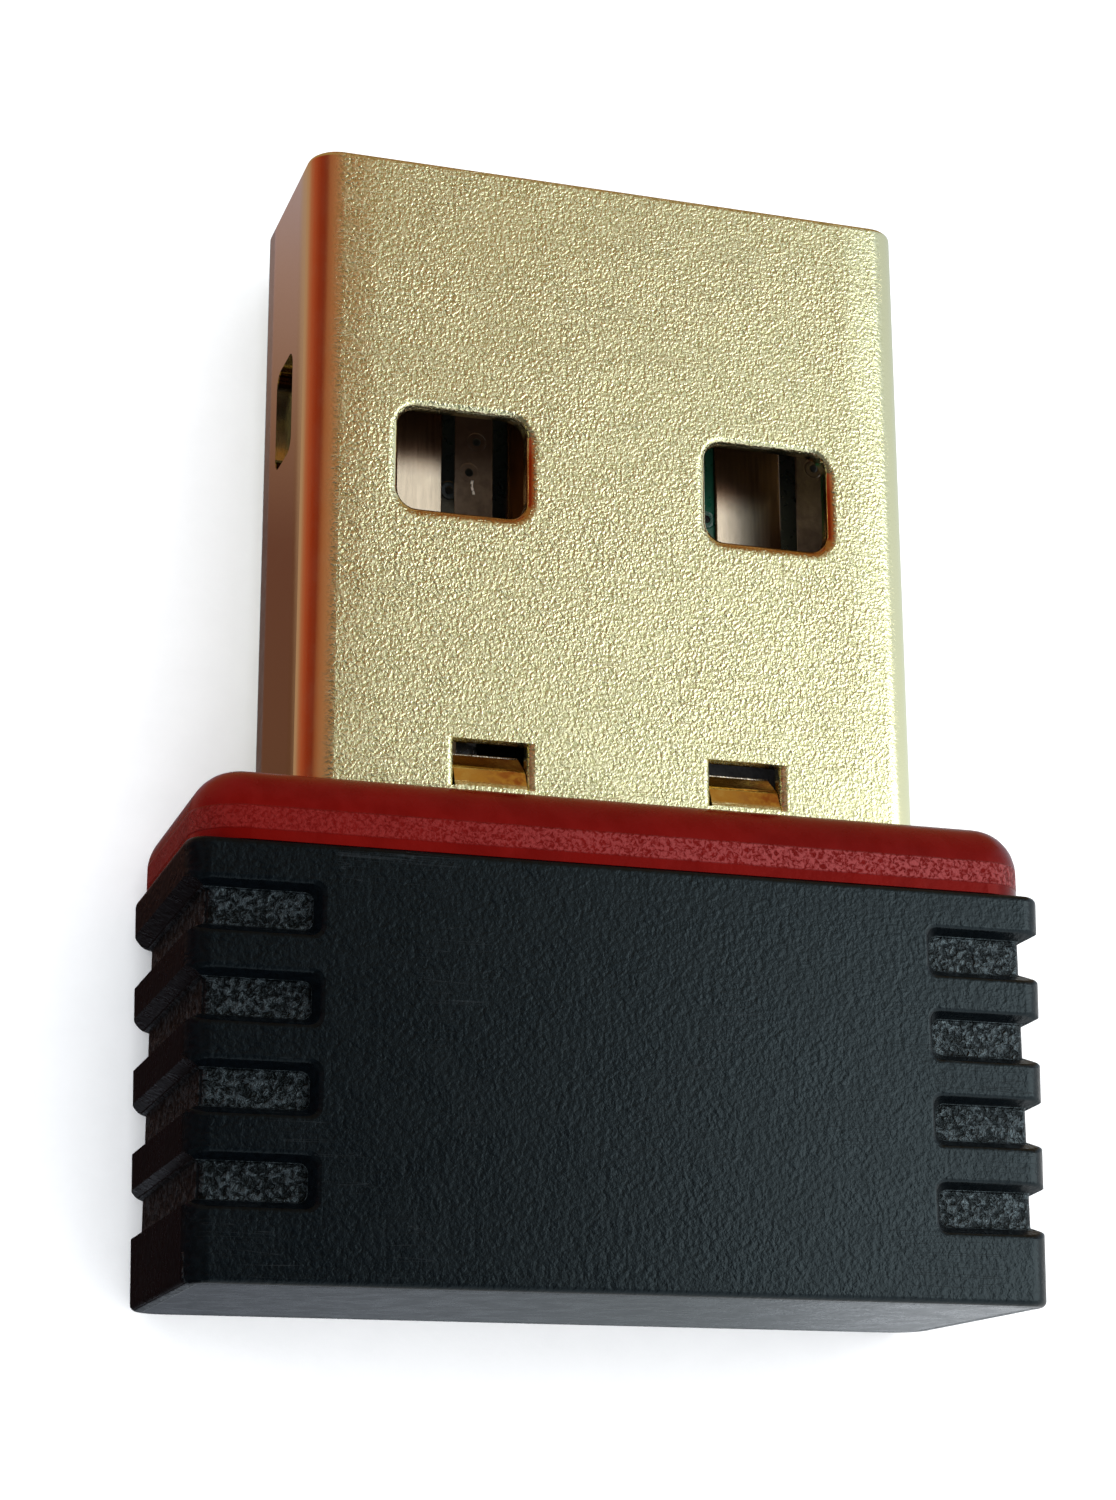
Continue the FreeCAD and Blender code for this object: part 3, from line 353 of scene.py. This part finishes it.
def contact_plate():
    m = Material("contact_plate", Metallic=1.0)
    streaks = m.noise(16, 3, 0.6, 0, m.moved((1, 0.05, 1)))
    blotch = m.noise(2.2, 2, 0.5)
    normal = m.bump(m.total(m.times(streaks, 0.05), m.times(blotch, 0.8)), 0.0022, m.leaning())
    colour = m.mix(m.span(streaks, 0.3, 0.7), (0.74, 0.61, 0.45), (0.80, 0.67, 0.51))
    # Painted shade inside the shell: past the middle of the windows, and along the last contact's outer
    # edge.
    in_shell = m.span(m.y, 7.2, 6.6)
    along = m.total(m.y, m.times(m.math("GREATER_THAN", m.x, 0.0), 0.15))
    far = m.times(m.band(along, 5.8, 6.6, 0.7), 0.9)
    outer = m.times(m.times(m.span(m.x, 3.7, 4.1), in_shell), 0.9)
    contact_painted_shade = m.math("MAXIMUM", far, outer)
    colour = m.mix(contact_painted_shade, colour, (0.16, 0.07, 0.03))
    # The contact's sides below its top face are painted dark: painted shade.
    colour = m.mix(m.span(m.z, CONTACT_TOP - 0.002, CONTACT_TOP - 0.025), colour, (0.10, 0.07, 0.045))
    # The inner contacts are painted dark brown inside the shell: painted shade.
    inner_contact_shade = m.times(m.span(m.math("ABSOLUTE", m.x), 2.4, 1.6), in_shell)
    colour = m.mix(inner_contact_shade, colour, (0.22, 0.11, 0.05))
    colour = m.mix(m.times(m.specks(2.6, 0.025, 0.2), 0.8), colour, (0.2, 0.14, 0.09))
    m.set("Base Color", colour)
    m.set("Roughness", m.span(streaks, 0.3, 0.7, 0.20, 0.25))
    m.set("Normal", normal)
    return m.data


def board_laminate():
    m = Material("board_laminate", Coat_Roughness=0.12)
    weave = m.math("SINE", m.times(m.x, 26.0))
    weft = m.math("SINE", m.times(m.y, 26.0))
    cloth = m.total(m.times(m.times(weave, weft), 0.06), m.noise(6, 3, 0.55))
    top = m.band(m.z, BOARD_TOP - 0.04, BOARD_TOP + 0.3, 0.02)
    low = m.band(m.z, BOARD_LOW - 0.2, BOARD_LOW + 0.04, 0.02)
    skin = m.math("MAXIMUM", top, low)
    colour = m.mix(m.span(cloth, 0.2, 0.8), (0.002, 0.024, 0.014), (0.004, 0.042, 0.024))
    # Painted shade: in the plug the mask is darker, but for the strip beside the right window's contact,
    # which is painted brighter than the mask elsewhere, most nearer the collar: painted light.
    plug = m.band(m.y, -2.4, 7.2, 0.4)
    window_light_strip = m.times(m.band(m.x, 1.8, 2.83, 0.05), m.span(m.y, 6.2, 4.6, 0.35, 1.0))
    colour = m.mix(plug, colour, m.mix(window_light_strip, (0.0006, 0.0022, 0.0018), (0.004, 0.115, 0.062)))
    glass = m.span(m.noise(7, 3, 0.6, 0, m.moved((0.3, 0.3, 3))), 0.3, 0.7)
    edge = m.mix(glass, (0.045, 0.032, 0.012), (0.10, 0.075, 0.03))
    # The board's edge in the plug is painted darker: painted shade.
    edge = m.mix(plug, edge, m.mix(glass, (0.006, 0.003, 0.001), (0.014, 0.007, 0.003)))
    m.set("Base Color", m.mix(skin, edge, colour))
    m.set("Coat Weight", m.times(skin, 0.6))
    m.set("Roughness", m.span(cloth, 0.2, 0.8, 0.24, 0.38))
    m.set("Normal", m.bump(cloth, 0.006))
    return m.data


def masked_copper(name="masked_copper"):
    """Solder mask over copper: brown-green and glossy, with painted shade towards the windows' far edges and
    a small scratch through to the metal.
    """
    m = Material(name, Coat_Weight=0.3, Coat_Roughness=0.12)
    cloud = m.noise(5, 3, 0.55)
    fine = m.noise(18, 2, 0.5)
    bend = m.times(m.math("SINE", m.times(m.y, 15.0)), 0.02)
    scratch = m.times(m.band(m.total(m.x, bend), -2.215, -2.175, 0.01), m.band(m.y, 4.95, 5.2, 0.03))
    scratch = m.times(scratch, m.span(fine, 0.3, 0.5))
    bare = m.band(m.math("ABSOLUTE", m.x), 2.57, 4.55, 0.01)
    colour = m.mix(m.span(cloud, 0.3, 0.7), (0.13, 0.085, 0.055), (0.19, 0.13, 0.085))
    # The mask is painted darker from the middle of the windows outwards, under the shell: painted shade.
    colour = m.mix(m.span(m.y, 5.0, 6.0, 0, 0.85), colour, (0.03, 0.012, 0.006))
    # Off the lands the mask is near black on the left, painted shade, and brighter green on the right,
    # painted light, as on the board.
    colour = m.mix(bare, colour, m.mix(m.span(m.x, 0, 1), (0.001, 0.003, 0.0025), (0.004, 0.09, 0.05)))
    m.set("Metallic", m.span(bare, 0, 1, 0.3, 0.0))
    m.set("Base Color", m.mix(scratch, colour, (0.95, 0.85, 0.72)))
    m.set("Roughness", m.total(m.span(fine, 0.3, 0.7, 0.18, 0.26), m.times(scratch, 0.3)))
    m.set("Normal", m.bump(m.total(fine, m.times(scratch, -1.5)), 0.003, m.leaning()))
    return m.data


# Near black: painted shade standing for the via holes.
def via_hole_shade():
    m = Material("via_hole_shade", Specular_IOR_Level=0.3)
    grain = m.noise(20, 2, 0.5)
    m.set("Base Color", m.mix(grain, (0.002, 0.0025, 0.002), (0.006, 0.007, 0.005)))
    m.set("Roughness", m.span(grain, 0.3, 0.7, 0.35, 0.5))
    m.set("Normal", m.bump(grain, 0.004))
    return m.data


def bright_edge():
    """Freshly sheared plating."""
    m = Material("bright_edge", Metallic=1.0)
    marks = m.noise(26, 2, 0.6, 0, m.moved((1, 0.3, 0.3)))
    m.set("Base Color", m.mix(m.span(marks, 0.35, 0.6), (0.74, 0.66, 0.50), (0.98, 0.96, 0.88)))
    m.set("Roughness", m.span(marks, 0.3, 0.7, 0.2, 0.32))
    m.set("Normal", m.bump(marks, 0.003))
    return m.data


def metal(name, dark, light, rough, scale=7.0, depth=0.004, stretch=(1, 1, 1)):
    """A metal with blotches, fine marks and uneven gloss."""
    m = Material(name, Metallic=1.0)
    marks = m.noise(scale, 3, 0.6, 0.3, m.moved(stretch))
    blotch = m.noise(1.7, 2, 0.5)
    colour = m.mix(m.span(m.total(m.times(marks, 0.6), m.times(blotch, 0.4)), 0.35, 0.65), dark, light)
    m.set("Base Color", m.mix(m.times(m.specks(3.0, 0.02, 0.2), 0.6), colour, tuple(0.25 * c for c in dark)))
    m.set("Roughness", m.span(marks, 0.3, 0.7, rough - 0.06, rough + 0.08))
    m.set("Normal", m.bump(m.total(marks, m.times(blotch, 0.6)), depth))
    return m.data


def moulded(name, dark, light, rough, scale=9.0, depth=0.006, gloss=0.5):
    """Moulding compound, ceramic or nylon with a fine grain and small pits."""
    m = Material(name, Specular_IOR_Level=gloss)
    grain = m.noise(scale, 4, 0.6, 0.2)
    cloud = m.noise(1.2, 3, 0.6)
    pits = m.specks(3.2, 0.03, 0.25)
    colour = m.mix(m.span(m.total(m.times(grain, 0.6), m.times(cloud, 0.4)), 0.35, 0.65), dark, light)
    m.set("Base Color", m.mix(m.times(pits, 0.6), colour, tuple(0.4 * c for c in dark)))
    m.set("Roughness", m.span(grain, 0.3, 0.7, rough - 0.06, rough + 0.08))
    m.set("Normal", m.bump(m.total(grain, m.times(pits, -0.8)), depth))
    return m.data


def pale_floor():
    m = Material("pale_floor", Specular_IOR_Level=0.2)
    paper = m.noise(1.5, 4, 0.6)
    m.set("Base Color", m.mix(m.span(paper, 0.3, 0.7), (0.95, 0.95, 0.95), (0.97, 0.97, 0.97)))
    m.set("Roughness", m.span(paper, 0.3, 0.7, 0.75, 0.85))
    m.set("Normal", m.bump(paper, 0.01))
    return m.data


FINISHES = {
    "cap_plastic": cap_plastic(),
    "collar_plastic": collar_plastic(),
    "gold_plate": gold_plate(),
    "contact_plate": contact_plate(),
    "board_laminate": board_laminate(),
    "copper": metal("copper", (0.50, 0.25, 0.14), (0.78, 0.45, 0.28), 0.3),
    "antenna_copper": metal("antenna_copper", (0.30, 0.30, 0.12), (0.45, 0.42, 0.18), 0.35, 9, 0.003),
    "spacer_plastic": moulded("spacer_plastic", (0.60, 0.57, 0.50), (0.72, 0.70, 0.63), 0.45),
    "solder": metal("solder", (0.50, 0.50, 0.52), (0.76, 0.76, 0.77), 0.26, 5, 0.008),
    "chip_plastic": moulded("chip_plastic", (0.017, 0.017, 0.018), (0.036, 0.036, 0.038), 0.55, 14),
    "crystal_ceramic": moulded("crystal_ceramic", (0.44, 0.39, 0.31), (0.58, 0.53, 0.44), 0.5, 12),
    "crystal_metal": metal(
        "crystal_metal", (0.56, 0.55, 0.52), (0.76, 0.75, 0.72), 0.28, 12, 0.002, (0.1, 1, 1)
    ),
    "lead_metal": metal("lead_metal", (0.52, 0.52, 0.54), (0.74, 0.74, 0.75), 0.33, 9),
    "ferrite": moulded("ferrite", (0.05, 0.05, 0.054), (0.09, 0.09, 0.095), 0.5, 16),
    "winding_copper": metal(
        "winding_copper", (0.50, 0.20, 0.08), (0.76, 0.36, 0.17), 0.25, 8, 0.002, (1, 1, 4)
    ),
    "capacitor_ceramic": moulded("capacitor_ceramic", (0.37, 0.25, 0.14), (0.52, 0.38, 0.24), 0.42, 14),
    "resistor_coat": moulded("resistor_coat", (0.012, 0.012, 0.015), (0.03, 0.03, 0.035), 0.3, 12, 0.003),
    "matching_ceramic": moulded("matching_ceramic", (0.15, 0.25, 0.36), (0.24, 0.38, 0.52), 0.4, 14),
}


def slot_of(name):
    """The record's slot of a CAD node, which is the material it came with."""
    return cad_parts[name].material_slots[0].material.name.split(".")[0]


for node_name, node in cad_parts.items():
    finish = FINISHES[slot_of(node_name)]
    for held in node.material_slots:
        held.material = finish


# ---- fine details on the board and the shell, in millimetres ----
LAND_HEIGHT = 0.02
LANDS = ((1.79, 2.56), (4.60, 5.28))
LAND_Y = (3.0, 9.2)
LAND_CORNER = 0.1
TENTED_VIAS = ((2.12, 6.03), (2.27, 5.38), (2.66, 4.97), (2.2, 8.32), (5.0, 3.32), (5.0, 6.32))
TENT_RINGS = ((0.20, 0.0), (0.17, 0.004), (0.12, 0.005), (0.095, 0.003), (0.0, 0.002))
PLUG_RADIUS = 0.085
BURR_RADIUS = 0.017


def add_piece(name, vertices, faces, material):
    """One smooth mesh piece that rides the adapter."""
    mesh = bpy.data.meshes.new(name)
    mesh.from_pydata([Vector(v) * MM for v in vertices], [], faces)
    mesh.polygons.foreach_set("use_smooth", [len(face) < 9 for face in faces])
    mesh.materials.append(material)
    piece = bpy.data.objects.new(name, mesh)
    bpy.context.scene.collection.objects.link(piece)
    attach(piece, "root")
    return piece


class Shape:
    """Vertices and faces gathered for one piece."""

    def __init__(self):
        self.vertices = []
        self.faces = []

    def ring_stack(self, rings):
        """A solid skin through closed rings of equal length, with a flat cap at each end."""
        start = len(self.vertices)
        count = len(rings[0])
        for ring in rings:
            self.vertices += ring
        for number in range(len(rings) - 1):
            low = start + number * count
            for step in range(count):
                after = (step + 1) % count
                self.faces.append((low + step, low + after, low + count + after, low + count + step))
        last = start + (len(rings) - 1) * count
        self.faces.append(tuple(range(start + count - 1, start - 1, -1)))
        self.faces.append(tuple(range(last, last + count)))


def circle(x, y, z, radius, count=24):
    turns = [2 * math.pi * step / count for step in range(count)]
    return [(x + radius * math.cos(t), y + radius * math.sin(t), z) for t in turns]


def rounded_outline(x, y, corner, inset, z):
    """A rectangle from (low, high) pairs with round corners, drawn in by an inset."""
    points = []
    radius = corner - inset
    for centre_x, centre_y, start in (
        (x[1] - corner, y[1] - corner, 0),
        (x[0] + corner, y[1] - corner, 90),
        (x[0] + corner, y[0] + corner, 180),
        (x[1] - corner, y[0] + corner, 270),
    ):
        for step in range(5):
            t = math.radians(start + 22.5 * step)
            points.append((centre_x + radius * math.cos(t), centre_y + radius * math.sin(t), z))
    return points


def masked_lands():
    """Copper under the solder mask on both sides of the outer contacts, standing a little proud."""
    shape = Shape()
    for side in (-1, 1):
        for low, high in LANDS:
            x = (low, high) if side > 0 else (-high, -low)
            rings = []
            for inset, rise in ((0, -0.01), (0, 0.6), (0.012, 0.9), (0.03, 1.0)):
                z = BOARD_TOP + rise * LAND_HEIGHT
                rings.append(rounded_outline(x, LAND_Y, LAND_CORNER, inset, z))
            shape.ring_stack(rings)
    add_piece("masked_lands", shape.vertices, shape.faces, masked_copper())


def via_base(x):
    on_land = any(low < x < high for low, high in LANDS)
    return BOARD_TOP + (LAND_HEIGHT if on_land else 0)


def via_tents():
    """Solder mask over the plated holes: a low ring round a low near-black dome, which is painted shade
    standing for the hole.
    """
    tents = Shape()
    plugs = Shape()
    for side in (-1, 1):
        for x, y in TENTED_VIAS:
            base = via_base(x)
            rings = [circle(side * x, y, base + rise, max(radius, 0.002)) for radius, rise in TENT_RINGS]
            tents.ring_stack([circle(side * x, y, base - 0.004, TENT_RINGS[0][0])] + rings)
            dome = ((PLUG_RADIUS, 0.0), (PLUG_RADIUS, 0.004), (0.6 * PLUG_RADIUS, 0.006))
            plugs.ring_stack([circle(side * x, y, base + rise, radius) for radius, rise in dome])
    add_piece("via_tents", tents.vertices, tents.faces, masked_copper("tent_mask"))
    add_piece("via_plugs", plugs.vertices, plugs.faces, via_hole_shade())


def tab_burrs():
    """The bright burr that shearing leaves along the end of each tab."""
    shape = Shape()
    y, z = TAB_END
    for side in (-1, 1):
        rings = []
        for step in range(29):
            x = TAB_X[0] + (TAB_X[1] - TAB_X[0]) * step / 28
            radius = BURR_RADIUS * random.uniform(0.75, 1.1)
            turns = [2 * math.pi * part / 8 for part in range(8)]
            ring = [(side * x, y + radius * math.cos(t), z + radius * math.sin(t)) for t in turns]
            rings.append(ring if side > 0 else ring[::-1])
        shape.ring_stack(rings)
    add_piece("tab_burrs", shape.vertices, shape.faces, bright_edge())


masked_lands()
via_tents()
tab_burrs()


# ---- camera, at the photograph's angle ----
CAMERA_AT = (-0.016639, -0.015517, 0.053617)
CAMERA_RIGHT = (0.95293, -0.00270, 0.30319)
CAMERA_UP = (-0.08190, 0.96050, 0.26597)
CAMERA_BACK = (-0.29193, -0.27828, 0.91506)
camera_data = bpy.data.cameras.new("camera")
camera_data.lens = 69.41
camera_data.sensor_width = 36
camera_data.clip_start = 0.005
camera_data.clip_end = 5
camera = bpy.data.objects.new("camera", camera_data)
bpy.context.scene.collection.objects.link(camera)
axes = Matrix([CAMERA_RIGHT, CAMERA_UP, CAMERA_BACK]).transposed()
camera.matrix_world = Matrix.Translation(CAMERA_AT) @ axes.to_4x4()
bpy.context.scene.camera = camera


# ---- floor and light ----
def make_floor():
    half = 1.5
    mesh = bpy.data.meshes.new("floor")
    corners = [(-half, -half, 0), (half, -half, 0), (half, half, 0), (-half, half, 0)]
    mesh.from_pydata(corners, [], [(0, 1, 2, 3)])
    mesh.materials.append(pale_floor())
    floor = bpy.data.objects.new("floor", mesh)
    floor.location.z = cad_low.z - 0.02 * MM
    bpy.context.scene.collection.objects.link(floor)
    floor.visible_glossy = False


def soft_light(name, toward, distance, size, power, colour):
    """A round soft light that faces the adapter from one direction."""
    data = bpy.data.lights.new(name, "AREA")
    data.shape = "DISK"
    data.size = size
    data.energy = power
    data.color = colour
    lamp = bpy.data.objects.new(name, data)
    direction = Vector(toward).normalized()
    lamp.location = direction * distance
    lamp.rotation_mode = "QUATERNION"
    lamp.rotation_quaternion = direction.to_track_quat("Z", "Y")
    bpy.context.scene.collection.objects.link(lamp)


class Surroundings:
    """The world as the gold and the plastic reflect it, by direction, and as it lights dull surfaces."""

    def __init__(self):
        world = bpy.data.worlds.new("studio")
        bpy.context.scene.world = world
        world.use_nodes = True
        self.tree = world.node_tree
        self.tree.nodes.clear()
        direction = self.node("TexCoord").outputs["Generated"]
        self.x, self.y, self.z = self.node("SeparateXYZ", {0: direction}).outputs
        turn = self.node("Math", {0: self.x, 1: self.z}, operation="ARCTAN2").outputs[0]
        self.turn = self.node("Math", {0: turn}, operation="DEGREES").outputs[0]

    def node(self, kind, inputs=None, **settings):
        made = self.tree.nodes.new("ShaderNode" + kind)
        for name, value in settings.items():
            setattr(made, name, value)
        for key, value in (inputs or {}).items():
            if isinstance(value, bpy.types.NodeSocket):
                self.tree.links.new(value, made.inputs[key])
            else:
                made.inputs[key].default_value = value
        return made

    def span(self, value, low, high, smooth=True):
        kind = "SMOOTHSTEP" if smooth else "LINEAR"
        inputs = {"Value": value, "From Min": low, "From Max": high}
        return self.node("MapRange", inputs, interpolation_type=kind).outputs[0]

    def ramp(self, value, stops):
        """A colour for each value, straight from one stop to the next."""
        low, high = stops[0][0], stops[-1][0]
        made = self.node("ValToRGB", {0: self.span(value, low, high, False)})
        keys = made.color_ramp.elements
        while len(keys) < len(stops):
            keys.new(0.5)
        for key, (at, colour) in zip(keys, stops):
            key.position = (at - low) / (high - low)
            key.color = (*(part / REFLECTED_STRENGTH for part in colour), 1)
        return made.outputs[0]

    def blend(self, share, a, b):
        made = self.node("Mix", data_type="RGBA")
        for socket, value in zip((made.inputs[0], made.inputs[6], made.inputs[7]), (share, a, b)):
            self.tree.links.new(value, socket)
        return made.outputs[2]

    def finish(self, reflected, lit_colour, lit_strength):
        shine = self.node("Background", {0: reflected, 1: REFLECTED_STRENGTH})
        lit = self.node("Background", {0: lit_colour, 1: lit_strength})
        path = self.node("LightPath").outputs["Is Glossy Ray"]
        chosen = self.node("MixShader", {0: path, 1: lit.outputs[0], 2: shine.outputs[0]})
        self.node("OutputWorld", {0: chosen.outputs[0]})


REFLECTED_STRENGTH = 2.0
# Round the plug's axis, in degrees from straight up: negative is the warm side.
WARM_SIDE = [
    (-180, (0.30, 0.20, 0.17)),
    (-165, (0.41, 0.27, 0.21)),
    (-147, (0.43, 0.26, 0.19)),
    (-127, (0.44, 0.24, 0.17)),
    (-113, (0.42, 0.14, 0.08)),
    (-97, (0.38, 0.07, 0.03)),
    (-77, (0.25, 0.020, 0.001)),
    (-60, (0.19, 0.018, 0.001)),
    (-47, (0.32, 0.09, 0.035)),
    (-30, (0.38, 0.15, 0.07)),
    (-7, (0.35, 0.15, 0.06)),
    (10, (0.36, 0.19, 0.09)),
]
# Across the wide face: how far to the right and towards the closed end.
PALE_SIDE = [
    (0.00, (0.42, 0.19, 0.07)),
    (0.03, (0.52, 0.29, 0.11)),
    (0.06, (0.76, 0.60, 0.35)),
    (0.10, (0.72, 0.66, 0.47)),
    (0.14, (0.69, 0.70, 0.60)),
    (0.19, (0.74, 0.79, 0.77)),
    (0.25, (0.84, 0.92, 1.0)),
    (0.40, (0.84, 0.92, 1.0)),
]
# Nearer the closed end: a dark gap just right of straight up.
NEAR_SIDE = [
    (-180, (0.008, 0.004, 0.004)),
    (-155, (0.012, 0.006, 0.005)),
    (-130, (0.04, 0.02, 0.015)),
    (-60, (0.10, 0.07, 0.05)),
    (-28, (0.14, 0.12, 0.10)),
    (-15, (0.06, 0.055, 0.05)),
    (-4, (0.03, 0.03, 0.035)),
    (13.5, (0.03, 0.035, 0.04)),
    (18, (0.34, 0.37, 0.39)),
    (22, (0.85, 0.90, 0.95)),
    (28, (1.2, 1.25, 1.3)),
    (90, (1.2, 1.2, 1.2)),
    (180, (1.0, 1.0, 1.0)),
]
# Below, to the left: pale only far along the plug.
LOW_LEFT = [
    (0.22, (0.02, 0.008, 0.006)),
    (0.27, (0.13, 0.055, 0.035)),
    (0.35, (0.13, 0.05, 0.035)),
    (0.39, (0.24, 0.12, 0.085)),
    (0.43, (0.34, 0.205, 0.19)),
    (0.50, (0.45, 0.38, 0.50)),
]
# Below, to the right: a bright edge at the far right.
LOW_RIGHT = [
    (0.15, (0.24, 0.265, 0.31)),
    (0.25, (0.35, 0.385, 0.43)),
    (0.34, (0.355, 0.395, 0.42)),
    (0.37, (0.435, 0.48, 0.52)),
    (0.41, (0.915, 0.975, 1.045)),
    (0.50, (1.6, 1.65, 1.7)),
]
# Far along the plug: a warm patch.
BACK_WARMTH = (0.36, 0.22, 0.09, 1)


def surroundings():
    """Pale studio to the right and a warm dark room to the left."""
    world = Surroundings()
    across = world.node("Math", {0: world.x, 1: 0.90}, operation="MULTIPLY").outputs[0]
    toward = world.node("Math", {0: world.y, 1: -0.35, 2: across}, operation="MULTIPLY_ADD").outputs[0]
    side = world.span(world.turn, 1, 12)
    fade = {"Value": world.y, "From Min": 0.25, "From Max": 0.45, "To Min": 1.05, "To Max": 0.72}
    pale = world.node("VectorMath", {0: world.ramp(toward, PALE_SIDE)}, operation="SCALE")
    world.tree.links.new(world.node("MapRange", fade).outputs[0], pale.inputs["Scale"])
    colour = world.blend(side, world.ramp(world.turn, WARM_SIDE), pale.outputs[0])
    near = world.span(world.y, 0.25, 0.215)
    colour = world.blend(near, colour, world.ramp(world.turn, NEAR_SIDE))
    right = world.span(world.x, -0.05, 0.05)
    low = world.blend(right, world.ramp(world.y, LOW_LEFT), world.ramp(world.x, LOW_RIGHT))
    colour = world.blend(world.span(world.z, -0.74, -0.86), colour, low)
    back = world.node("Math", {0: world.span(world.y, 0.60, 0.72), 1: world.span(world.y, 0.97, 0.92)})
    back.operation = "MULTIPLY"
    warmth = world.node("RGB")
    warmth.outputs[0].default_value = tuple(part / REFLECTED_STRENGTH for part in BACK_WARMTH)
    colour = world.blend(back.outputs[0], colour, warmth.outputs[0])
    world.finish(colour, (0.95, 0.97, 1.0, 1), 1.62)


make_floor()
surroundings()
soft_light("key_light", (0.66, 0.02, 0.75), 0.30, 0.20, 0.24, (1.0, 0.99, 0.96))
bpy.context.scene.view_settings.view_transform = "Standard"
